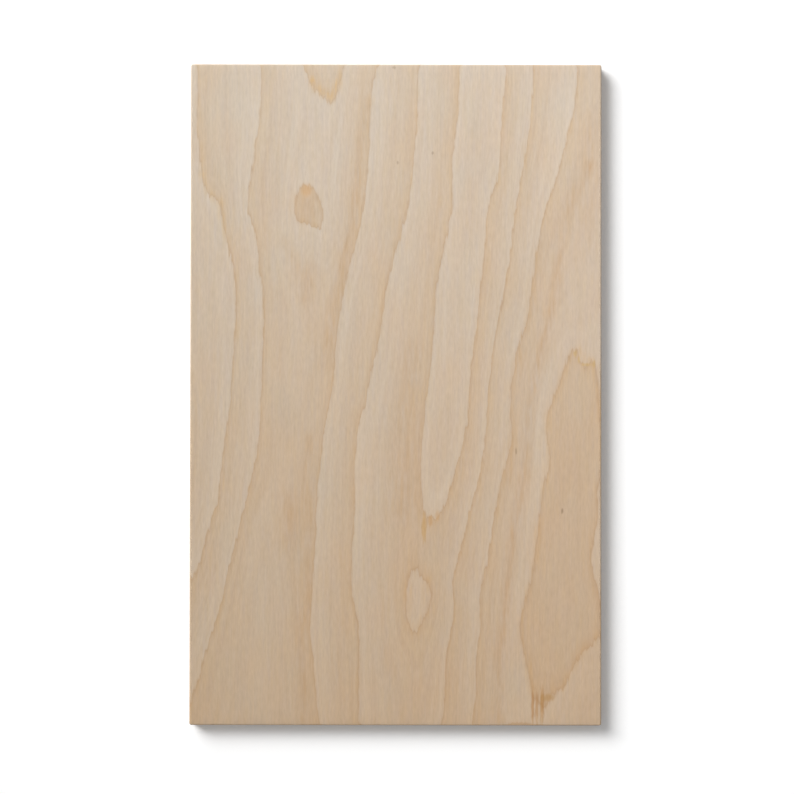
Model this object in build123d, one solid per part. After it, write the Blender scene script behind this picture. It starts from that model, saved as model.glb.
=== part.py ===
from build123d import *
import os

# Plywood sheet: one cut-to-size panel of birch plywood, lying flat on its underside.
# X runs across the face grain, Y runs along it and Z is up.  The underside is at
# z = 0 and the origin is at its centre.  All sizes are in millimetres.

# Overall size of the cut panel.
SHEET_WIDTH = 280.0
SHEET_LENGTH = 450.0
SHEET_THICKNESS = 12.0

# The arrises round the face and the underside are lightly rounded, so that the sheet
# can be handled.  A flat band is left along every edge between them.
ARRIS_RADIUS = 1.0

# Seen from above the corners are eased a little more than the arrises.
CORNER_RADIUS = 1.5

# How far each long section runs past the sheet before the other trims it.
OVERRUN = 10.0


def edge_section(span: float) -> Sketch:
    """Section through the sheet with its four arrises rounded over.

    Args:
        span: width of the section, edge to edge.

    Returns:
        The section, centred on the origin.
    """
    return RectangleRounded(span, SHEET_THICKNESS, ARRIS_RADIUS)


def make_sheet() -> Part:
    """Cut the sheet as the overlap of its two long sections and its outline.

    A router leaves a mitre where two rounded arrises meet at a corner, and the
    overlap of the two sections has the same mitre.  The outline eases the corners.

    Returns:
        The sheet as one solid, with its underside at z = 0.
    """
    mid_height = SHEET_THICKNESS / 2

    across_grain = Plane.XZ * edge_section(SHEET_WIDTH)
    along_y = extrude(across_grain, SHEET_LENGTH / 2 + OVERRUN, both=True)

    along_grain = Plane.YZ * edge_section(SHEET_LENGTH)
    along_x = extrude(along_grain, SHEET_WIDTH / 2 + OVERRUN, both=True)

    outline = RectangleRounded(SHEET_WIDTH, SHEET_LENGTH, CORNER_RADIUS)
    upright = extrude(outline, mid_height, both=True)

    return Pos(0, 0, mid_height) * (along_y & along_x & upright)


plywood_sheet = make_sheet().solid()
plywood_sheet.label = "plywood_sheet"

os.makedirs("parts", exist_ok=True)
export_step(plywood_sheet, "parts/plywood_sheet.step")
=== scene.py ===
import logging
import math
from dataclasses import dataclass, field
from enum import Enum

import bpy
import numpy as np
from mathutils import Matrix, Vector


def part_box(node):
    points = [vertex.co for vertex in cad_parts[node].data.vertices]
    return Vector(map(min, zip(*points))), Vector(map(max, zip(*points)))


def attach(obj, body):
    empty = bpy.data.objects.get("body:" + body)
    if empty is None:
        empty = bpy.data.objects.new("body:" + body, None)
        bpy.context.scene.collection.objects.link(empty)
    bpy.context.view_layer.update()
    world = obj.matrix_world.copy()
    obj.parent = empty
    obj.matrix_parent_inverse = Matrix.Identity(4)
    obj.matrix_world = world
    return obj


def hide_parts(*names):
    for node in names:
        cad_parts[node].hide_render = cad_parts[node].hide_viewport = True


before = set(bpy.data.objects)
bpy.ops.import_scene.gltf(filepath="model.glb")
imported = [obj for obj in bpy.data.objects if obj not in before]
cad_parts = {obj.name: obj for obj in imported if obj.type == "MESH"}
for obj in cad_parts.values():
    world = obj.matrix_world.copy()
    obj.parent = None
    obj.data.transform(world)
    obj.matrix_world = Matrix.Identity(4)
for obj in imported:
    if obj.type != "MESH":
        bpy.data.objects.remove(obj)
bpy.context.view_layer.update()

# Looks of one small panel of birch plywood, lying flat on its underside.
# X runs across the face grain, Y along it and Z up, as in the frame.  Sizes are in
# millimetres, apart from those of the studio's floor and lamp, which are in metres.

log = logging.getLogger("plywood")

MM = 0.001
NODE = "plywood_sheet"

# What the mesh stores of the wood's figure at each of its points.
FIGURE_LAYERS = ("growth", "steepness", "slant", "brown", "gold")

# Stands for nought where a logarithm or a division can't take it.
ALMOST_NOUGHT = 1e-12

# What is left of a line or a fleck at the end of its own width.
FADED = 1 / math.e

Point = tuple[float, float]
Triple = tuple[float, float, float]
Tree = bpy.types.NodeTree
Socket = bpy.types.NodeSocket


class Cut(Enum):
    """What a stretch of the sheet's surface shows, in the order of its finishes."""

    FACE = 0
    BACK = 1
    LONG_GRAIN = 2
    END_GRAIN = 3
    GLUE_LINE = 4


def linear(hex_colour: str) -> tuple[float, float, float, float]:
    """Turn an sRGB hex colour into the linear colour that a shader takes.

    Args:
        hex_colour: colour such as "#CAB49B".

    Returns:
        Red, green, blue and an alpha of one, all linear.
    """
    channels = [int(hex_colour[i:i + 2], 16) / 255 for i in (1, 3, 5)]
    curved = [c / 12.92 if c <= 0.04045 else ((c + 0.055) / 1.055) ** 2.4 for c in channels]
    return (*curved, 1.0)


def add_node(tree: Tree, kind: str, settings: dict | None = None,
             links: dict | None = None) -> bpy.types.NodeOutputs:
    """Add one node to a tree, with its settings and the sockets that feed it.

    Args:
        tree: the material's or world's node tree.
        kind: the node's type, without the words that all shader nodes start with, and
            after a full stop its operation, where it has one.
        settings: values by the node's own property, or by input name or number.
            "stops" takes a ramp's colours as (place, hex colour) pairs.
        links: output sockets by the input, name or number, that each one feeds.

    Returns:
        The new node's outputs.
    """
    kind, _, operation = kind.partition(".")
    node = tree.nodes.new("ShaderNode" + kind)
    if operation:
        node.operation = operation
    for name, value in (settings or {}).items():
        if name == "stops":
            ramp = node.color_ramp.elements
            while len(ramp) < len(value):
                ramp.new(0.5)
            for element, (place, colour) in zip(ramp, value):
                element.position = place
                element.color = linear(colour)
        elif isinstance(name, str) and name in node.bl_rna.properties:
            setattr(node, name, value)
        else:
            node.inputs[name].default_value = value
    for name, socket in (links or {}).items():
        tree.links.new(socket, node.inputs[name])
    return node.outputs


def new_material(name: str) -> bpy.types.Material:
    """Make a material with an empty node tree.

    Args:
        name: the material's name.

    Returns:
        The material.
    """
    material = bpy.data.materials.new(name)
    material.use_nodes = True
    material.node_tree.nodes.clear()
    return material


@dataclass(frozen=True)
class GrowthRing:
    """One growth line on a veneer: its year and the points that it runs through."""

    year: int
    path: tuple[Point, ...]


@dataclass(frozen=True)
class Season:
    """A place between growth lines, and how far through a year's growth it is."""

    year: float
    at: Point


@dataclass(frozen=True)
class Stain:
    """A soft patch or band of another colour on a veneer, round the line it follows."""

    depth: float
    half_width: float
    path: tuple[Point, ...]


@dataclass(frozen=True)
class Fleck:
    """A small mark in the wood: a pore, or fibres that resin has soaked."""

    at: Point
    # Half its width and half its length in millimetres.
    half_size: Point
    depth: float
    colour: str


@dataclass
class GrowthFigure:
    """Figure of a rotary-cut veneer: the year of growth at each place on its face.

    The knife peels the log at a slight angle to its rings, so each ring comes out as
    a long wandering line, and the years between lines change smoothly.  The field is
    the thin plate that bends least through the rings and seasons given.
    """

    rings: tuple[GrowthRing, ...]
    seasons: tuple[Season, ...]
    # Brown stains, and golden ones, where torn fibres have soaked up resin.
    browns: tuple[Stain, ...] = ()
    golds: tuple[Stain, ...] = ()
    # The figure changes about three times more slowly along the grain than across it.
    stretch: float = 3.0
    # Years lost for each millimetre that sanding or a rounded arris cuts away.
    years_per_depth: float = -0.12
    centres: np.ndarray = field(init=False)
    weights: np.ndarray = field(init=False)

    def __post_init__(self) -> None:
        """Solve the thin plate for the weights of its centres."""
        known = [(ring.year, point) for ring in self.rings for point in ring.path]
        known += [(season.year, season.at) for season in self.seasons]
        self.centres = self.unstretched(np.array([point for _, point in known], dtype=float))
        count = len(known)
        offset = self.centres[:, None] - self.centres[None]
        system = np.zeros((count + 3, count + 3))
        system[:count, :count] = self.bending((offset ** 2).sum(axis=-1))
        system[:count, count] = 1.0
        system[:count, count + 1:] = self.centres
        system[count:, :count] = system[:count, count:].T
        years = np.array([year for year, _ in known] + [0.0, 0.0, 0.0])
        self.weights = np.linalg.solve(system, years)

    def unstretched(self, places: np.ndarray) -> np.ndarray:
        """Shrink places along the grain, so that the figure is as lively both ways."""
        return places / np.array([1.0, self.stretch])

    @staticmethod
    def bending(square: np.ndarray) -> np.ndarray:
        """Thin-plate kernel, from squared distances."""
        return 0.5 * square * np.log(np.maximum(square, ALMOST_NOUGHT))

    def years(self, places: np.ndarray) -> tuple[np.ndarray, np.ndarray]:
        """Year of growth at each place, and how fast it changes there.

        Args:
            places: X and Y of each place.

        Returns:
            The years, and their slopes across and along the grain per millimetre.
        """
        points = self.unstretched(places)
        count = len(self.centres)
        offset = points[:, None] - self.centres[None]
        square = (offset ** 2).sum(axis=-1)
        years = self.bending(square) @ self.weights[:count]
        years += self.weights[count] + points @ self.weights[count + 1:]
        pull = (np.log(np.maximum(square, ALMOST_NOUGHT)) + 1.0)[..., None] * offset
        slope = np.einsum("pcs,c->ps", pull, self.weights[:count]) + self.weights[count + 1:]
        return years, self.unstretched(slope)

    @staticmethod
    def staining(stains: tuple[Stain, ...], places: np.ndarray) -> np.ndarray:
        """How deeply some soft stains colour each place.

        Args:
            stains: the stains.
            places: X and Y of each place.

        Returns:
            The depth of stain, where 1 is the full stain colour.
        """
        total = np.zeros(len(places))
        for stain in stains:
            path = np.array(stain.path, dtype=float)
            nearest = np.full(len(places), np.inf)
            for start, end in zip(path, path[1:]):
                run = end - start
                along = np.clip((places - start) @ run / (run @ run), 0.0, 1.0)
                gap = np.linalg.norm(places - start - along[:, None] * run, axis=1)
                nearest = np.minimum(nearest, gap)
            total += stain.depth * np.exp(-(nearest / stain.half_width) ** 2)
        return total


def face_figure() -> GrowthFigure:
    """Figure of the upper face, from the left edge to the right one.

    Returns:
        The figure.
    """
    rings = (
        GrowthRing(2, ((-135, 224), (-135, 201), (-135, 174), (-132, 150), (-129, 138),
                       (-120, 129), (-118, 118), (-114, 100), (-110, 82), (-109, 55),
                       (-111, 20), (-113, -10), (-117, -37), (-122, -77), (-128, -95),
                       (-134, -118), (-141, -128))),
        GrowthRing(1, ((-92, 224), (-92, 201), (-95, 174), (-99, 147), (-101, 127),
                       (-96, 111), (-93, 89), (-90, 61), (-90, 44), (-91, 10), (-92, -17),
                       (-95, -44), (-101, -69), (-107, -95), (-114, -121), (-119, -144),
                       (-126, -166), (-133, -191), (-140, -214))),
        GrowthRing(0, ((-63, 224), (-59, 214), (-56, 209), (-52, 205), (-48, 202),
                       (-45, 198), (-42, 202), (-39, 211), (-36, 224))),
        GrowthRing(0, ((-65, 141), (-61, 142), (-57, 140), (-54, 134), (-50, 125),
                       (-50, 119), (-53, 113), (-57, 115), (-61, 116), (-66, 116),
                       (-68, 121), (-69, 128), (-67, 137))),
        GrowthRing(1, ((-13, 224), (-17, 206), (-18, 184), (-19, 164), (-22, 131),
                       (-26, 109), (-32, 87), (-37, 63), (-41, 34), (-43, 7), (-48, -20),
                       (-52, -51), (-54, -78), (-55, -106), (-57, -133), (-58, -160),
                       (-56, -181), (-54, -204), (-52, -223))),
        GrowthRing(2, ((15, 224), (14, 184), (11, 153), (8, 127), (2, 106), (-4, 84),
                       (-9, 57), (-11, 40), (-16, 20), (-20, -2), (-25, -20), (-28, -44),
                       (-28, -75), (-30, -112), (-30, -133), (-26, -152), (-25, -181),
                       (-25, -223))),
        GrowthRing(3, ((43, 224), (42, 191), (38, 157), (38, 129), (34, 106), (28, 76),
                       (26, 48), (23, 14), (19, -17), (17, -48), (18, -72), (21, -84),
                       (26, -84), (31, -80), (37, -65), (43, -44), (49, -17), (51, 14),
                       (55, 44), (58, 76), (61, 102), (63, 128), (70, 150), (72, 184),
                       (75, 224))),
        GrowthRing(2, ((94, 224), (90, 174), (85, 147), (81, 123), (77, 89), (72, 61),
                       (67, 35), (64, 10), (62, -17), (58, -51), (51, -78), (44, -107),
                       (39, -127), (40, -146), (35, -177), (34, -201), (32, -223))),
        GrowthRing(3, ((14, -119), (9, -124), (7, -140), (8, -153), (12, -161),
                       (16, -160), (21, -148), (24, -138), (21, -127))),
        GrowthRing(1, ((124, 221), (122, 198), (115, 170), (109, 146), (102, 126),
                       (97, 102), (93, 76), (90, 53), (84, 34), (80, 14), (78, -10),
                       (79, -31), (72, -58), (67, -85), (63, -112), (58, -133),
                       (58, -157), (55, -181), (55, -201), (53, -223))),
        GrowthRing(0, ((139, -16), (138, -3), (137, 12), (136, 20), (134, 22), (130, 20),
                       (126, 21), (122, 30), (116, 20), (111, 6), (103, -16), (103, -31),
                       (105, -42), (100, -66), (98, -85), (94, -116), (90, -136),
                       (85, -152), (86, -170), (90, -186), (93, -201), (97, -209),
                       (102, -211), (107, -204), (111, -201), (115, -198), (119, -190),
                       (124, -180), (128, -174), (134, -170), (140, -158))),
        GrowthRing(0, ((140, -51), (137, -68), (137, -89), (134, -100), (133, -114),
                       (136, -128), (139, -143))),
    )
    seasons = (
        Season(2.5, (-141, 140)), Season(2.6, (-140, 60)), Season(2.8, (-141, 0)),
        Season(2.75, (-141, -60)), Season(0.35, (-75, 190)), Season(0.04, (-48, 180)),
        Season(0.45, (-35, 150)), Season(0.06, (-60, 165)), Season(0.35, (-78, 125)),
        Season(-0.3, (-50, 220)), Season(-0.12, (-58, 128)), Season(0.5, (-58, 100)),
        Season(0.6, (-60, 75)), Season(0.55, (-62, 40)), Season(0.6, (-62, 0)),
        Season(0.72, (-68, -50)), Season(0.45, (-90, -110)), Season(0.75, (-72, -105)),
        Season(0.4, (-95, -160)), Season(0.55, (-72, -200)), Season(0.5, (-108, -208)),
        Season(2.65, (5, -40)), Season(2.7, (6, -80)), Season(2.7, (-2, -130)),
        Season(2.8, (30, -120)), Season(2.6, (5, -190)), Season(2.6, (10, -222)),
        Season(2.75, (22, -100)), Season(3.3, (50, 180)), Season(3.3, (48, 90)),
        Season(3.25, (38, 20)), Season(3.35, (31, -35)), Season(3.06, (15, -140)),
        Season(0.7, (139, 210)), Season(0.5, (137, 150)), Season(0.35, (132, 100)),
        Season(0.25, (125, 50)), Season(0.15, (92, -60)), Season(0.2, (78, -140)),
        Season(0.15, (82, -190)), Season(-0.14, (120, -20)), Season(-0.17, (118, -80)),
        Season(-0.3, (115, -140)), Season(-0.14, (104, -185)), Season(0.1, (141, -100)),
        Season(0.45, (130, -205)), Season(0.6, (138, -222)), Season(0.1, (112, -222)),
        Season(0.05, (75, -222)),
    )
    browns = (
        Stain(0.22, 3.5, ((132, 157), (122, 136), (117, 122), (111, 92), (107, 64),
                          (97, 24), (92, -3), (89, -51), (81, -92), (76, -133),
                          (71, -174), (70, -222))),
        Stain(0.12, 3.5, ((98, 102), (92, 57), (82, 12), (80, -10), (76, -60))),
        Stain(0.22, 4.0, ((-19, 200), (-24, 160), (-30, 112), (-42, 62), (-48, 20))),
        Stain(0.18, 7.0, ((-73, -72), (-72, -100))),
        Stain(0.12, 4.0, ((-76, 104), (-66, 84), (-60, 76))),
        Stain(0.16, 5.0, ((-62, 66), (-58, 86))),
        Stain(0.15, 4.0, ((-59, -30), (-62, -120), (-63, -222))),
        Stain(0.15, 9.0, ((12, 30), (6, -20), (4, -80))),
        Stain(0.2, 7.0, ((-60, 132), (-60, 122))),
        Stain(0.08, 7.0, ((134, 190), (132, 150), (131, 95))),
    )
    golds = (
        Stain(0.22, 2.2, ((139, -16), (138, 0), (134, 23), (129, 24), (125, 31), (121, 31),
                          (111, 6), (103, -16), (104, -40), (98, -85), (90, -136))),
        Stain(0.25, 2.2, ((85, -152), (86, -170), (90, -186), (93, -201))),
        Stain(0.14, 1.8, ((111, -201), (115, -198), (128, -174), (134, -170), (140, -158))),
        Stain(0.55, 2.6, ((-58, 214), (-54, 209), (-50, 206), (-45, 202), (-42, 206),
                          (-40, 212))),
        Stain(0.25, 1.6, ((-40, 212), (-37, 222))),
        Stain(0.14, 2.0, ((-135, 224), (-135, 174), (-132, 150))),
        Stain(0.25, 2.4, ((-132, 150), (-129, 138), (-120, 129), (-118, 118), (-114, 100))),
        Stain(0.2, 2.4, ((9, -124), (8, -153), (14, -161), (21, -148), (21, -127))),
    )
    return GrowthFigure(rings, seasons, browns, golds)


def face_flecks() -> tuple[Fleck, ...]:
    """Small marks on the upper face: torn tips of the rings first, then dark pores.

    Returns:
        The flecks.
    """
    return (
        Fleck((93.4, -212), (1.0, 12), 0.65, "#BE8F5C"),
        Fleck((96.2, -213), (1.1, 11), 0.55, "#C0925C"),
        Fleck((99.8, -211), (1.4, 12), 0.65, "#BD9158"),
        Fleck((104, -206), (4.2, 2.6), 0.5, "#BF9A62"),
        Fleck((122, 28), (1.3, 2.4), 0.45, "#D8B97C"),
        Fleck((124.6, 23.6), (0.9, 2.6), 0.45, "#D8B97C"),
        Fleck((129.5, 20.4), (3.6, 1.1), 0.45, "#D8B97C"),
        Fleck((135, 21), (1.0, 2.6), 0.45, "#D8B97C"),
        Fleck((19.4, -91), (1.7, 10), 0.6, "#CFAA70"),
        Fleck((23.7, -86), (1.5, 4), 0.5, "#D2A873"),
        Fleck((28.5, -83), (1.5, 4), 0.4, "#D2A873"),
        Fleck((-61, 138.5), (3.6, 4.6), 0.5, "#D8AA74"),
        Fleck((25.0, 164.6), (0.8, 1.0), 0.4, "#8F7A63"),
        Fleck((1.2, 157.9), (0.8, 1.2), 0.35, "#8F7A63"),
        Fleck((113.5, -79.4), (0.8, 2.0), 0.6, "#8F7A63"),
        Fleck((81.9, -38.2), (0.8, 2.4), 0.35, "#8F7A63"),
        Fleck((-1.6, 222.8), (1.3, 0.9), 0.35, "#8F7A63"),
    )


def back_figure() -> GrowthFigure:
    """Figure of the underside: plainer, with one long tongue of rings.

    Returns:
        The figure.
    """
    rings = (
        GrowthRing(1, ((-118, 224), (-112, 150), (-114, 70), (-124, 10), (-121, -60),
                       (-127, -150), (-125, -223))),
        GrowthRing(2, ((-83, 224), (-76, 160), (-73, 90), (-84, 20), (-91, -40), (-86, -130),
                       (-92, -223))),
        GrowthRing(3, ((-46, -223), (-44, -160), (-36, -90), (-33, -30), (-21, 38), (-12, 66),
                       (-4, 76), (5, 60), (12, 12), (23, -48), (26, -120), (33, -170),
                       (34, -223))),
        GrowthRing(3, ((24, 224), (29, 196), (36, 178), (42, 190), (47, 224))),
        GrowthRing(2, ((86, 224), (81, 170), (70, 96), (72, 40), (84, -20), (81, -90),
                       (74, -150), (79, -223))),
        GrowthRing(1, ((126, 224), (115, 150), (104, 80), (109, 10), (121, -50), (118, -130),
                       (109, -180), (112, -223))),
    )
    seasons = (
        Season(0.4, (-140, 0)), Season(0.4, (140, 0)), Season(2.6, (-40, 180)),
        Season(2.8, (14, 120)), Season(3.4, (-6, -60)), Season(3.5, (-4, -180)),
        Season(2.6, (-14, 210)), Season(2.7, (52, 120)),
    )
    return GrowthFigure(rings, seasons)


@dataclass(frozen=True)
class SandedBirch:
    """Birch veneer, rotary cut and sanded: pale, matt and silky, with low relief.

    Each year's wood grows paler to darker, yellows over its last few millimetres and
    ends in a thin brown line.  The colour then starts again, so every line has a dark
    side and a pale side.
    """

    name: str
    # Colours at the sheet's +Y end, where no painted shade darkens them, on its ruddier side.
    early: str = "#D6C5B2"
    middle: str = "#D3C0AB"
    late: str = "#D2BCA3"
    line: str = "#C8AE92"
    brown: str = "#C09A70"
    gold: str = "#D9B585"
    # How far through the year the middle colour comes.
    midsummer: float = 0.45
    # Painted shade that darkens and warms the wood towards the -Y end, where the light falls
    # off, then a greyer tint towards the -X side, each with the share of it that is gained for
    # each millimetre along X, Y and Z.
    end_shade_and_side_tints: tuple[tuple[str, Triple], ...] = (
        ("#EEE2D3", (0.0, -0.0022, 0.0)), ("#F9FCFE", (-0.0036, 0.0, 0.0)))
    # Sanded and bare: matt, with only a weak sheen.  Birch is close to cellulose, at 1.53.
    roughness: float = 0.78
    specular_level: float = 0.25
    ior: float = 1.53
    # A line's brown fades over this many millimetres, further where it runs across the
    # grain through torn fibres, and over this part of a year at the least.
    line_width: float = 0.36
    torn_width: float = 0.6
    least_fade: float = 0.003
    # The gold before it, how deep it is at the line, and how much deeper in torn fibres.
    gold_width: float = 2.6
    gold_depth: float = 0.08
    torn_depth: float = 5.0
    # Torn fibres carry a line this far along the grain, and the knife a little across.
    tear: float = 9.0
    waver: float = 2.6
    # Pattern sizes in mm, across the grain and along it.  Birch fibres are finer than
    # this, and are drawn as coarse as they need to show.
    fibre: Point = (1.1, 5.5)
    streak: Point = (1.5, 42.0)
    feather: Point = (2.0, 11.0)
    bundle: Point = (2.2, 15.0)
    mottle: Point = (17.0, 36.0)
    # Faint bands that run with the rings: years, and millimetres along the grain.
    band: Point = (0.1, 110.0)
    # How much each pattern lightens or darkens the wood's red, green and blue.  Bundles
    # and patches of it are a little pinker or yellower.
    tones: tuple[tuple[str, Triple], ...] = (
        ("fibre", (0.18, 0.18, 0.18)), ("streak", (0.13, 0.12, 0.11)),
        ("band", (0.12, 0.18, 0.22)), ("bundle", (0.03, -0.01, -0.14)),
        ("mottle", (0.05, -0.03, -0.10)))
    # How strongly stains follow the bundles of fibres.
    stain_grain: float = 3.0
    # Sanding leaves the fibres this many millimetres proud, and softens them.
    nap: float = 0.05
    relief: float = 0.35
    flecks: tuple[Fleck, ...] = ()
    # How crisp a fleck's outline is.
    fleck_edge: float = 4.0

    def build(self) -> bpy.types.Material:
        """Make the material.

        Returns:
            The material.
        """
        material = new_material(self.name)
        tree = material.node_tree
        place = add_node(tree, "TexCoord")["Object"]
        place = add_node(tree, "VectorMath.SCALE", {"Scale": 1 / MM}, {0: place})[0]
        stored = {name: add_node(tree, "Attribute", {"attribute_name": name})["Fac"]
                  for name in FIGURE_LAYERS}
        patterns = self.patterns(tree, place, stored["growth"])

        colour = self.wood(tree, stored, patterns)
        for fleck in self.flecks:
            colour = self.marked(tree, colour, place, patterns["fibre"], fleck)
        colour = self.toned(tree, colour, patterns)
        # Painted shade: darker and warmer towards the -Y end, where the light falls off; greyer
        # towards -X.
        colour = self.end_shaded_and_tinted(tree, colour, place)

        bump = add_node(tree, "Bump", {"Strength": self.relief, "Distance": self.nap * MM},
                        {"Height": patterns["fibre"]})[0]
        shader = add_node(tree, "BsdfPrincipled",
                          {"Roughness": self.roughness, "IOR": self.ior,
                           "Specular IOR Level": self.specular_level},
                          {"Base Color": colour, "Normal": bump})[0]
        add_node(tree, "OutputMaterial", {}, {"Surface": shader})
        return material

    def patterns(self, tree: Tree, place: Socket, growth: Socket) -> dict[str, Socket]:
        """Add the noises that the wood's fibres make, each centred on nought.

        Args:
            tree: the material's node tree.
            place: place on the sheet in millimetres.
            growth: year of growth.

        Returns:
            The noises by name.
        """
        with_rings = add_node(tree, "SeparateXYZ", {}, {0: place})["Y"]
        with_rings = add_node(tree, "CombineXYZ", {}, {"X": growth, "Y": with_rings})[0]
        noises = {}
        for name, at, size, detail in (("fibre", place, self.fibre, 1.0),
                                       ("streak", place, self.streak, 1.0),
                                       ("feather", place, self.feather, 2.0),
                                       ("bundle", place, self.bundle, 1.0),
                                       ("mottle", place, self.mottle, 1.0),
                                       ("band", with_rings, self.band, 2.0)):
            shrink = (1 / size[0], 1 / size[1], 1 / size[0])
            scaled = add_node(tree, "VectorMath.MULTIPLY", {1: shrink}, {0: at})[0]
            noise = add_node(tree, "TexNoise", {"Scale": 1.0, "Detail": detail},
                             {"Vector": scaled})["Fac"]
            noises[name] = add_node(tree, "Math.SUBTRACT", {1: 0.5}, {0: noise})[0]
        return noises

    def wood(self, tree: Tree, stored: dict[str, Socket],
             patterns: dict[str, Socket]) -> Socket:
        """Colour the wood through each year, with its stains, its gold and its lines.

        Args:
            tree: the material's node tree.
            stored: the figure's layers by name.
            patterns: the noises by name.

        Returns:
            The colour.
        """
        # Torn and wavering fibres move each line by a few millimetres at most.
        torn = add_node(tree, "Math.MULTIPLY", {1: self.tear}, {0: stored["slant"]})[0]
        reach = add_node(tree, "Math.MULTIPLY_ADD", {1: self.waver},
                         {0: stored["steepness"], 2: torn})[0]
        year = add_node(tree, "Math.MULTIPLY_ADD", {},
                        {0: patterns["feather"], 1: reach, 2: stored["growth"]})[0]
        season = add_node(tree, "Math.FRACT", {}, {0: year})[0]
        to_go = add_node(tree, "Math.SUBTRACT", {0: 1.0}, {1: season})[0]
        stops = ((0.0, self.early), (self.midsummer, self.middle), (1.0, self.late))
        colour = add_node(tree, "ValToRGB", {"stops": stops}, {"Fac": season})["Color"]

        # Stains follow the fibres.  The gold is strongest where the year ends.
        golden = add_node(tree, "Math.MULTIPLY_ADD", {1: self.torn_depth, 2: self.gold_depth},
                          {0: stored["slant"]})[0]
        ending = self.fade(tree, to_go, stored, self.gold_width, self.torn_width)
        gold = add_node(tree, "Math.MULTIPLY_ADD", {},
                        {0: ending, 1: golden, 2: stored["gold"]})[0]
        fibrous = add_node(tree, "Math.MULTIPLY_ADD", {1: self.stain_grain, 2: 1.0},
                           {0: patterns["bundle"]})[0]
        for depth, hue in ((stored["brown"], self.brown), (gold, self.gold)):
            stained = add_node(tree, "Math.MULTIPLY", {"use_clamp": True},
                               {0: depth, 1: fibrous})[0]
            colour = add_node(tree, "Mix", {"data_type": "RGBA", 7: linear(hue)},
                              {0: stained, 6: colour})[2]

        # The line also spills into the year that it starts.
        before = self.fade(tree, to_go, stored, self.line_width, self.torn_width)
        after = self.fade(tree, season, stored, self.line_width, 0.0)
        line = add_node(tree, "Math.MAXIMUM", {}, {0: before, 1: after})[0]
        return add_node(tree, "Mix", {"data_type": "RGBA", 7: linear(self.line)},
                        {0: line, 6: colour})[2]

    def fade(self, tree: Tree, gone: Socket, stored: dict[str, Socket], width: float,
             torn_width: float) -> Socket:
        """Fade something away from a growth line.

        Args:
            tree: the material's node tree.
            gone: years from the line.
            stored: the figure's layers by name.
            width: how far it fades, in millimetres across the line.
            torn_width: how much further, in millimetres along the grain.

        Returns:
            What is left of it, from 1 at the line down to nothing.
        """
        torn = add_node(tree, "Math.MULTIPLY_ADD", {1: torn_width, 2: self.least_fade},
                        {0: stored["slant"]})[0]
        reach = add_node(tree, "Math.MULTIPLY_ADD", {1: width},
                         {0: stored["steepness"], 2: torn})[0]
        fall = add_node(tree, "Math.DIVIDE", {}, {0: gone, 1: reach})[0]
        return add_node(tree, "Math.POWER", {0: FADED}, {1: fall})[0]

    def marked(self, tree: Tree, colour: Socket, place: Socket, ragged: Socket,
               fleck: Fleck) -> Socket:
        """Lay one fleck over a colour.

        Args:
            tree: the material's node tree.
            colour: the wood's colour.
            place: place on the sheet in millimetres.
            ragged: noise that roughens the fleck's outline.
            fleck: the fleck.

        Returns:
            The marked colour.
        """
        shrink = [1 / half for half in fleck.half_size]
        shift = [-at / half for at, half in zip(fleck.at, fleck.half_size)]
        away = add_node(tree, "VectorMath.MULTIPLY_ADD", {1: (*shrink, 0.0), 2: (*shift, 0.0)},
                        {0: place})[0]
        away = add_node(tree, "VectorMath.LENGTH", {}, {0: away})["Value"]
        away = add_node(tree, "Math.ADD", {}, {0: away, 1: ragged})[0]
        away = add_node(tree, "Math.POWER", {1: self.fleck_edge}, {0: away})[0]
        near = add_node(tree, "Math.POWER", {0: FADED}, {1: away})[0]
        share = add_node(tree, "Math.MULTIPLY", {1: fleck.depth}, {0: near})[0]
        return add_node(tree, "Mix", {"data_type": "RGBA", 7: linear(fleck.colour)},
                        {0: share, 6: colour})[2]

    def toned(self, tree: Tree, colour: Socket, patterns: dict[str, Socket]) -> Socket:
        """Lighten and darken a colour by a few parts in a hundred, as the fibres do.

        Args:
            tree: the material's node tree.
            colour: the wood's colour.
            patterns: the noises by name.

        Returns:
            The toned colour.
        """
        links = {}
        for name, weights in self.tones:
            links[0] = patterns[name]
            links[2] = add_node(tree, "VectorMath.MULTIPLY_ADD",
                                {1: weights, 2: (1.0, 1.0, 1.0)}, links)[0]
        return add_node(tree, "VectorMath.MULTIPLY", {}, {0: colour, 1: links[2]})[0]

    def end_shaded_and_tinted(self, tree: Tree, colour: Socket, place: Socket) -> Socket:
        """Paint shade that darkens and warms the veneer towards one end, and make it greyer
        towards one side.

        Args:
            tree: the material's node tree.
            colour: the wood's colour.
            place: place on the sheet in millimetres.

        Returns:
            The tinted colour.
        """
        for tint, gain in self.end_shade_and_side_tints:
            along = add_node(tree, "VectorMath.DOT_PRODUCT", {1: gain}, {0: place})["Value"]
            share = add_node(tree, "Math.ADD", {1: 0.5, "use_clamp": True}, {0: along})[0]
            settings = {"data_type": "RGBA", "blend_type": "MULTIPLY", 7: linear(tint)}
            colour = add_node(tree, "Mix", settings, {0: share, 6: colour})[2]
        return colour


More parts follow.
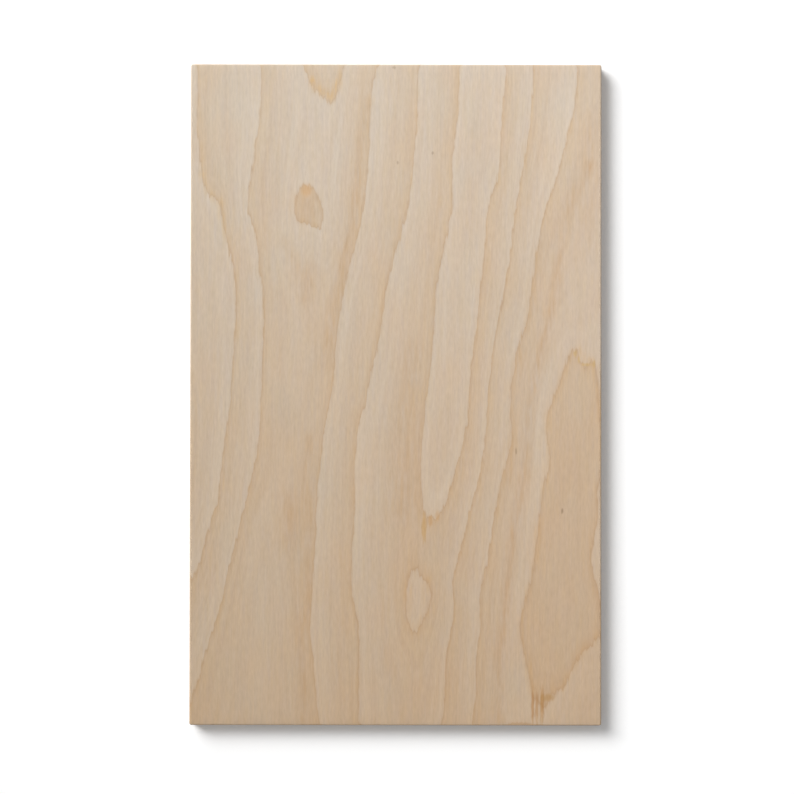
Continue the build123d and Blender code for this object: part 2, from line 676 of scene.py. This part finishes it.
@dataclass(frozen=True)
class PlyEdge:
    """A ply's sawn and sanded edge: streaked along the grain, or dotted with pores."""

    name: str
    light: str
    dark: str
    # Size of the streaks or pores, in mm: along the edge and up it.
    grain: Point
    # Where in the noise the dark colour and the light one are full.
    contrast: Point = (0.33, 0.66)
    roughness: float = 0.72
    ior: float = 1.53
    # Depth of the pores in millimetres, and how much of it sanding leaves.
    pore_depth: float = 0.06
    relief: float = 0.4

    def build(self) -> bpy.types.Material:
        """Make the material.

        Returns:
            The material.
        """
        material = new_material(self.name)
        tree = material.node_tree
        place = add_node(tree, "TexCoord")["Object"]
        along, up = self.grain
        scale = (1 / (along * MM), 1 / (along * MM), 1 / (up * MM))
        scaled = add_node(tree, "VectorMath.MULTIPLY", {1: scale}, {0: place})[0]
        noise = add_node(tree, "TexNoise", {"Scale": 1.0, "Detail": 3.0, "Roughness": 0.6},
                         {"Vector": scaled})["Fac"]
        stops = tuple(zip(self.contrast, (self.dark, self.light)))
        colour = add_node(tree, "ValToRGB", {"stops": stops}, {"Fac": noise})["Color"]
        bump = add_node(tree, "Bump", {"Strength": self.relief,
                                       "Distance": self.pore_depth * MM},
                        {"Height": noise})[0]
        shader = add_node(tree, "BsdfPrincipled", {"Roughness": self.roughness, "IOR": self.ior},
                          {"Base Color": colour, "Normal": bump})[0]
        add_node(tree, "OutputMaterial", {}, {"Surface": shader})
        return material


@dataclass(frozen=True)
class BakeArea:
    """Where one stretch of the sheet lies in the map that its finish is baked to."""

    # Lower left corner, and the share of the map that a millimetre takes each way.
    corner: Point
    scale: Point

    def place(self, flat: np.ndarray) -> np.ndarray:
        """Map places, from millimetres measured from the stretch's lower left corner."""
        return np.array(self.corner) + flat * np.array(self.scale)


@dataclass
class PlywoodSheet:
    """The sheet: two sanded face veneers, and a rim that shows every ply."""

    low: Vector
    high: Vector
    arris: float = 1.0
    corner: float = 1.5
    face_ply: float = 1.1
    core_plies: int = 7
    glue: float = 0.12
    # Sanding takes the soft end grain a little below the long grain beside it.
    end_grain_recess: float = 0.08
    # The belt runs along the grain and dubs both ends of each face a little.
    dub_depth: float = 0.12
    dub_length: float = 4.0
    # Mesh lines: the usual gap between them, and how many turn an arris or a corner.
    pitch: float = 2.2
    arc_steps: int = 5
    corner_steps: int = 5
    # The baked map gives the face the most room, then the underside, then the rim.
    face_bake: BakeArea = BakeArea((0.006, 0.006), (1.95e-3, 1.95e-3))
    back_bake: BakeArea = BakeArea((0.562, 0.006), (1.45e-3, 1.45e-3))
    long_rims: tuple[BakeArea, BakeArea] = (BakeArea((0.006, 0.89), (1.2e-3, 5.0e-3)),
                                            BakeArea((0.006, 0.945), (1.2e-3, 5.0e-3)))
    short_rims: tuple[BakeArea, BakeArea] = (BakeArea((0.562, 0.70), (1.5e-3, 9.0e-3)),
                                             BakeArea((0.562, 0.80), (1.5e-3, 9.0e-3)))
    # The rims' areas start this far down the curve of the rim, past the face veneer.
    rim_start: float = 2.0

    @property
    def size(self) -> Vector:
        """Width, length and thickness in millimetres."""
        return (self.high - self.low) / MM

    @property
    def flat(self) -> tuple[float, float]:
        """Half the width and half the length of the flat part of each face."""
        return self.size.x / 2 - self.arris, self.size.y / 2 - self.arris

    def grid_lines(self, half: float) -> np.ndarray:
        """Mesh lines across one face, close together near both of its borders.

        Args:
            half: half the width of the flat part of the face.

        Returns:
            The places of the lines, lowest first.
        """
        inner = half - self.corner
        middle = np.linspace(-inner, inner, round(2 * inner / self.pitch) + 1)
        border = np.linspace(inner, half, self.corner_steps + 1)[1:]
        return np.concatenate([-border[::-1], middle, border])

    def glue_lines(self) -> list[float]:
        """Heights of the glue lines above the underside, lowest first."""
        step = (self.size.z - 2 * self.face_ply) / self.core_plies
        return [self.face_ply + step * i for i in range(self.core_plies + 1)]

    def stations(self) -> list[float]:
        """Heights of the mesh rings down the rim, highest first.

        Returns:
            The heights, without those of the two flat faces.
        """
        glue = [z + s * self.glue / 2 for z in self.glue_lines() for s in (-1, 1)]
        turns = [math.pi / 2 * i / self.arc_steps for i in range(1, self.arc_steps + 1)]
        drops = [self.arris * (1 - math.cos(turn)) for turn in turns]
        rounds = [z for drop in drops for z in (self.size.z - drop, drop)]
        clear = [z for z in rounds if min(abs(z - g) for g in glue) > self.glue / 2]
        return sorted(glue + clear, reverse=True)

    def reach(self, height: float) -> float:
        """How far the rim stands out from the flat of the faces at a height."""
        drop = max(0.0, self.arris - min(height, self.size.z - height))
        return math.sqrt(self.arris ** 2 - drop ** 2)

    def cut(self, height: float, side: int) -> Cut:
        """What the rim shows at a height.

        The face veneers' grain runs along Y, and each ply crosses the one above it.

        Args:
            height: height above the underside.
            side: number of the side: 0 and 2 run along X, 1 and 3 along Y.

        Returns:
            The kind of cut.
        """
        lines = self.glue_lines()
        if min(abs(height - z) for z in lines) < self.glue / 4:
            return Cut.GLUE_LINE
        below = sum(z < height for z in lines)
        if below in (0, len(lines)):
            return Cut.BACK if below == 0 else Cut.FACE
        grain_along_y = below % 2 == 0
        return Cut.LONG_GRAIN if grain_along_y == (side % 2 == 1) else Cut.END_GRAIN

    def recess(self, height: float, side: int) -> float:
        """How far sanding has sunk the rim at a height, on one side."""
        return self.end_grain_recess if self.cut(height, side) is Cut.END_GRAIN else 0.0

    def side_points(self, side: int, reach: float, radius: float, sunk: float) -> np.ndarray:
        """Mesh points along one side of a rounded outline, in anticlockwise order.

        They lie on the face's mesh lines, and the last few at each end turn the corner.

        Args:
            side: number of the side: 0 lower, 1 right, 2 upper, 3 left.
            reach: how far the outline stands out from the flat of the face.
            radius: radius of its corners.
            sunk: how far this side is sunk.

        Returns:
            X and Y of each point.
        """
        flat_along, flat_out = self.flat if side % 2 == 0 else self.flat[::-1]
        lines = self.grid_lines(flat_along)
        inner = flat_along - self.corner
        past = np.clip((np.abs(lines) - inner) / self.corner, 0, 1)
        travel = past * (self.corner - radius + radius * math.pi / 4)
        straight = np.minimum(travel, self.corner - radius)
        turned = (travel - straight) / max(radius, ALMOST_NOUGHT)
        middle = np.clip(lines / inner, -1, 1) * (inner + reach)
        along = middle + np.sign(lines) * (straight + radius * np.sin(turned))
        out = flat_out + reach - radius * (1 - np.cos(turned)) - sunk * (1 - past)
        quarter = side * math.pi / 2
        forward = np.array([math.cos(quarter), math.sin(quarter)])
        outward = np.array([math.sin(quarter), -math.cos(quarter)])
        return along[:, None] * forward + out[:, None] * outward

    def ring(self, reach: float, height: float | None = None) -> np.ndarray:
        """Closed ring of mesh points round the sheet.

        Args:
            reach: how far the ring stands out from the flat of the faces.
            height: height of the ring, where its plies are sunk, or nothing.

        Returns:
            X and Y of each point, anticlockwise from the lower left corner.
        """
        radius = self.corner * math.sqrt(min(reach / self.arris, 1.0))
        sides = []
        for side in range(4):
            sunk = 0.0 if height is None else self.recess(height, side)
            sides.append(self.side_points(side, reach, radius, sunk)[:-1])
        return np.concatenate(sides)

    def build(self, face: GrowthFigure, back: GrowthFigure) -> bpy.types.Object:
        """Make the sheet as one closed mesh.

        Args:
            face: figure of the upper veneer.
            back: figure of the lower veneer.

        Returns:
            The sheet.
        """
        lines_x, lines_y = (self.grid_lines(half) for half in self.flat)
        count_x, count_y = len(lines_x), len(lines_y)
        flat = np.stack(np.meshgrid(lines_x, lines_y, indexing="ij"), axis=-1).reshape(-1, 2)
        number = np.arange(count_x * count_y).reshape(count_x, count_y)
        border = np.concatenate([number[:-1, 0], number[-1, :-1],
                                 number[:0:-1, -1], number[0, :0:-1]])
        squares = np.stack([number[:-1, :-1], number[1:, :-1],
                            number[1:, 1:], number[:-1, 1:]], axis=-1).reshape(-1, 4)
        side_of = np.repeat(np.arange(4), [count_x - 1, count_y - 1] * 2)

        heights = self.stations()
        rim_size = len(border)
        points = [self.lifted(flat, self.size.z), self.lifted(flat, 0.0)]
        points += [self.lifted(self.ring(self.reach(z), z), z) for z in heights]
        points = np.concatenate(points)
        points[:, 2] -= self.dub(points)
        levels = [border] + [2 * len(flat) + rim_size * i + np.arange(rim_size)
                             for i in range(len(heights))] + [border + len(flat)]
        level_heights = [self.size.z] + heights + [0.0]

        quads = [squares, squares[:, ::-1] + len(flat)]
        cuts = [np.full(len(squares), Cut.FACE.value), np.full(len(squares), Cut.BACK.value)]
        unrolled = self.unrolled(level_heights)
        half = np.array(self.flat) + self.arris * math.pi / 2
        places = [self.face_bake.place(flat[squares] + half),
                  self.back_bake.place(flat[squares[:, ::-1]] + half)]
        for upper, lower in zip(range(len(levels)), range(1, len(levels))):
            here, there = levels[upper], levels[lower]
            quads.append(np.stack([here, there, np.roll(there, -1), np.roll(here, -1)], axis=-1))
            middle = (level_heights[upper] + level_heights[lower]) / 2
            kinds = [self.cut(middle, side).value for side in range(4)]
            cuts.append(np.array(kinds)[side_of])
            places.append(self.rim_places(unrolled, upper, middle, half))
        quads, cuts, places = (np.concatenate(part) for part in (quads, cuts, places))

        mesh = bpy.data.meshes.new(NODE)
        mesh.from_pydata((points * MM).tolist(), [], quads.tolist())
        mesh.polygons.foreach_set("material_index", cuts.astype(np.int32))
        mesh.polygons.foreach_set("use_smooth", np.ones(len(quads), dtype=bool))
        layer = mesh.uv_layers.new(name="OFBake")
        layer.uv.foreach_set("vector", places.astype(np.float32).ravel())
        self.add_figure(mesh, points, face, back)
        mesh.validate()
        sheet = bpy.data.objects.new("sheet", mesh)
        bpy.context.scene.collection.objects.link(sheet)
        return sheet

    def lifted(self, flat: np.ndarray, height: float) -> np.ndarray:
        """Points at one height in the frame, from X and Y about the sheet's middle."""
        middle = (self.low + self.high) / 2 / MM
        return np.column_stack([flat + np.array(middle.xy),
                                np.full(len(flat), self.low.z / MM + height)])

    def dub(self, points: np.ndarray) -> np.ndarray:
        """How far the sanding belt has dubbed the upper side.

        Args:
            points: mesh points in millimetres.

        Returns:
            The drop of each point, which fades away down the upper arris.
        """
        along = np.abs(points[:, 1] - (self.low.y + self.high.y) / 2 / MM)
        past = np.clip((along - self.flat[1]) / self.dub_length + 1, 0, 1)
        depth = self.high.z / MM - points[:, 2]
        return self.dub_depth * past ** 2 * np.clip(1 - depth / self.arris, 0, 1)

    def unrolled(self, heights: list[float]) -> list[float]:
        """How far down the rim each height is, measured along its curve.

        Args:
            heights: heights above the underside, highest first.

        Returns:
            The distances, from nought.
        """
        reaches = [self.reach(z) for z in heights]
        travel = [0.0]
        for i in range(1, len(heights)):
            step = math.hypot(heights[i] - heights[i - 1], reaches[i] - reaches[i - 1])
            travel.append(travel[-1] + step)
        return travel

    def rim_places(self, travel: list[float], upper: int, middle: float,
                   half: np.ndarray) -> np.ndarray:
        """Map places of one band of quads down the rim.

        Args:
            travel: distance down the rim of each level, along its curve.
            upper: number of the level above the band.
            middle: height of the middle of the band.
            half: half the width and length of an unrolled face.

        Returns:
            Four places for each quad.
        """
        kind = self.cut(middle, 0)
        if kind in (Cut.FACE, Cut.BACK):
            outs = travel[upper:upper + 2]
            if kind is Cut.BACK:
                outs = [travel[-1] - out for out in outs]
            area = self.face_bake if kind is Cut.FACE else self.back_bake
            above, below = (self.ring(out) + half for out in outs)
            corners = [above, below, np.roll(below, -1, axis=0), np.roll(above, -1, axis=0)]
            return area.place(np.stack(corners, axis=1))
        places = []
        rims = (self.short_rims[0], self.long_rims[0], self.short_rims[1], self.long_rims[1])
        for side, area in enumerate(rims):
            flat_along = self.flat[side % 2]
            lines = self.grid_lines(flat_along) + flat_along
            start, end = lines[:-1], lines[1:]
            high, low = (np.full(len(start), out - self.rim_start)
                         for out in travel[upper:upper + 2])
            corners = [np.stack(pair, axis=-1) for pair in
                       ((start, high), (start, low), (end, low), (end, high))]
            places.append(area.place(np.stack(corners, axis=1)))
        return np.concatenate(places)

    def add_figure(self, mesh: bpy.types.Mesh, points: np.ndarray, face: GrowthFigure,
                   back: GrowthFigure) -> None:
        """Store each point's year of growth, its slopes and its stains on the mesh.

        Args:
            mesh: the sheet's mesh.
            points: its points in millimetres.
            face: figure of the upper veneer.
            back: figure of the lower veneer.
        """
        height = points[:, 2] - self.low.z / MM
        upper = height > self.size.z / 2
        layers = {name: np.zeros(len(points), dtype=np.float32) for name in FIGURE_LAYERS}
        for figure, chosen, depth in ((face, upper, self.size.z - height),
                                      (back, ~upper, height)):
            places = points[chosen, :2]
            years, slope = figure.years(places)
            layers["growth"][chosen] = years + figure.years_per_depth * depth[chosen]
            layers["steepness"][chosen] = np.linalg.norm(slope, axis=1)
            layers["slant"][chosen] = np.abs(slope[:, 1])
            layers["brown"][chosen] = figure.staining(figure.browns, places)
            layers["gold"][chosen] = figure.staining(figure.golds, places)
        for name, values in layers.items():
            mesh.attributes.new(name, "FLOAT", "POINT").data.foreach_set("value", values)

    def dress(self, sheet: bpy.types.Object, finishes: dict[Cut, bpy.types.Material]) -> None:
        """Give each kind of cut its finish, and hand the sheet to the frame.

        Args:
            sheet: the sheet.
            finishes: the finish of each kind of cut.
        """
        for cut in Cut:
            sheet.data.materials.append(finishes[cut])
        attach(sheet, "root")
        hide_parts(NODE)


@dataclass(frozen=True)
class Softbox:
    """A square lamp with a grid: where it hangs, in metres, and how bright it is."""

    name: str
    at: Triple
    size: float
    # Light that it would give the sheet without its grid, where 1 in all shows a colour
    # about as written.  The grid gathers its light about threefold.
    level: float
    # Where it points, as metres across and along from the middle of the sheet, and
    # how wide its grid lets the light out, in degrees.
    turned_to: Point
    spread: float

    def hang(self, sheet_middle: Vector) -> None:
        """Make the lamp and turn it.

        Args:
            sheet_middle: middle of the sheet's face.
        """
        lamp = bpy.data.lights.new(self.name, "AREA")
        lamp.shape = "SQUARE"
        lamp.size = self.size
        lamp.spread = math.radians(self.spread)
        ray = sheet_middle - Vector(self.at)
        slant = abs(ray.z) / ray.length
        lamp.energy = self.level * math.pi ** 2 * ray.length_squared / slant
        lamp_object = bpy.data.objects.new(self.name, lamp)
        lamp_object.location = self.at
        axis = ray + Vector((*self.turned_to, 0.0))
        lamp_object.rotation_euler = axis.to_track_quat("-Z", "Y").to_euler()
        bpy.context.scene.collection.objects.link(lamp_object)


@dataclass
class Studio:
    """Plain white floor, one soft lamp and the camera that looks straight down."""

    sheet_top: float
    floor_half: float = 6.0
    floor_colour: str = "#FCFCFC"
    # What the floor adds for the camera alone, so that it shows white beside a shadow,
    # and how much more with each metre past this one, where the lamp's light falls off.
    floor_glow: float = 0.12
    far_glow: float = 0.35
    far_start: float = 0.4
    world_level: float = 0.26
    lamp: Softbox = Softbox("key softbox", (-2.3, 2.5, 3.0), 3.0, 0.25, (1.7, -0.1), 80.0)
    # The photograph takes in this width of the sheet's face, in millimetres.
    view_width: float = 540.4
    focal_length: float = 100.0
    sensor: float = 36.0
    # Middle of the view on the face, how far the camera stands off it, in millimetres,
    # and how it is rolled, in degrees.
    aim: Point = (0.85, -1.85)
    stand_off: Point = (0.0, -17.6)
    roll: float = 0.087

    def lay_floor(self) -> None:
        """Lay the floor under the sheet, as stage."""
        half = self.floor_half
        mesh = bpy.data.meshes.new("floor")
        corners = [(-half, -half, 0), (half, -half, 0), (half, half, 0), (-half, half, 0)]
        mesh.from_pydata(corners, [], [(0, 1, 2, 3)])
        floor = bpy.data.objects.new("floor", mesh)
        bpy.context.scene.collection.objects.link(floor)
        mesh.materials.append(self.floor_paper())

    def floor_paper(self) -> bpy.types.Material:
        """White backdrop paper, matt, that shows white to the camera.

        Returns:
            The material.
        """
        material = new_material("backdrop paper")
        tree = material.node_tree
        rays = add_node(tree, "LightPath")
        seen = rays["Is Camera Ray"]
        for kind in ("Is Glossy Ray", "Is Transmission Ray"):
            seen = add_node(tree, "Math.MAXIMUM", {}, {0: seen, 1: rays[kind]})[0]
        place = add_node(tree, "TexCoord")["Object"]
        away = add_node(tree, "VectorMath.LENGTH", {}, {0: place})["Value"]
        far = add_node(tree, "Math.SUBTRACT", {1: self.far_start}, {0: away})[0]
        far = add_node(tree, "Math.MAXIMUM", {1: 0.0}, {0: far})[0]
        glow = add_node(tree, "Math.MULTIPLY_ADD", {1: self.far_glow, 2: self.floor_glow},
                        {0: far})[0]
        strength = add_node(tree, "Math.MULTIPLY", {}, {0: seen, 1: glow})[0]
        paper = add_node(tree, "BsdfDiffuse", {"Color": linear(self.floor_colour)})[0]
        glow = add_node(tree, "Emission", {"Color": linear("#FFFFFF")},
                        {"Strength": strength})[0]
        both = add_node(tree, "AddShader", {}, {0: paper, 1: glow})[0]
        add_node(tree, "OutputMaterial", {}, {"Surface": both})
        return material

    def light(self) -> None:
        """Hang the lamp and set the world's fill, which the camera alone sees as white."""
        self.lamp.hang(Vector((0, 0, self.sheet_top)))
        world = bpy.data.worlds.new("studio")
        world.use_nodes = True
        bpy.context.scene.world = world
        tree = world.node_tree
        tree.nodes.clear()
        seen = add_node(tree, "LightPath")["Is Camera Ray"]
        strength = add_node(tree, "Math.MULTIPLY_ADD",
                            {1: 1 - self.world_level, 2: self.world_level}, {0: seen})[0]
        fill = add_node(tree, "Background", {"Color": linear("#FFFFFF")},
                        {"Strength": strength})[0]
        add_node(tree, "OutputWorld", {}, {"Surface": fill})

    def place_camera(self) -> None:
        """Put the camera above the sheet, where the photograph was taken from."""
        camera = bpy.data.cameras.new("camera")
        camera.lens = self.focal_length
        camera.sensor_width = self.sensor
        distance = self.view_width * MM * self.focal_length / self.sensor
        target = Vector((self.aim[0] * MM, self.aim[1] * MM, self.sheet_top))
        place = target + Vector((self.stand_off[0] * MM, self.stand_off[1] * MM, distance))
        view = bpy.data.objects.new("camera", camera)
        turn = (target - place).to_track_quat("-Z", "Y").to_matrix().to_4x4()
        roll = Matrix.Rotation(math.radians(self.roll), 4, "Z")
        view.matrix_world = Matrix.Translation(place) @ turn @ roll
        bpy.context.scene.collection.objects.link(view)
        bpy.context.scene.camera = view


def main() -> None:
    """Build the sheet and the studio, and report each piece."""
    logging.basicConfig(level=logging.INFO, format="%(message)s")
    log.info("frame: %d node", len(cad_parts))
    bpy.context.scene.view_settings.view_transform = "Standard"

    low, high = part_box(NODE)
    plywood = PlywoodSheet(low, high)
    sheet = plywood.build(face_figure(), back_figure())
    plywood.dress(sheet, {
        Cut.FACE: SandedBirch("sanded birch face", flecks=face_flecks()).build(),
        Cut.BACK: SandedBirch("sanded birch back", early="#C6B5A2", middle="#C3AF98",
                              late="#BFA88D").build(),
        Cut.LONG_GRAIN: PlyEdge("birch ply, long grain", "#D3B990", "#B99A6E",
                                (14.0, 0.35)).build(),
        Cut.END_GRAIN: PlyEdge("birch ply, end grain", "#B1906A", "#8A6A48",
                               (0.5, 0.5)).build(),
        Cut.GLUE_LINE: PlyEdge("phenolic glue line", "#7E5A39", "#5C3F28",
                               (3.0, 0.3)).build(),
    })
    log.info("sheet: %d faces", len(sheet.data.polygons))

    studio = Studio(high.z)
    studio.lay_floor()
    studio.light()
    studio.place_camera()
    log.info("studio: floor, %s and camera", studio.lamp.name)


if __name__ == "__main__":
    main()
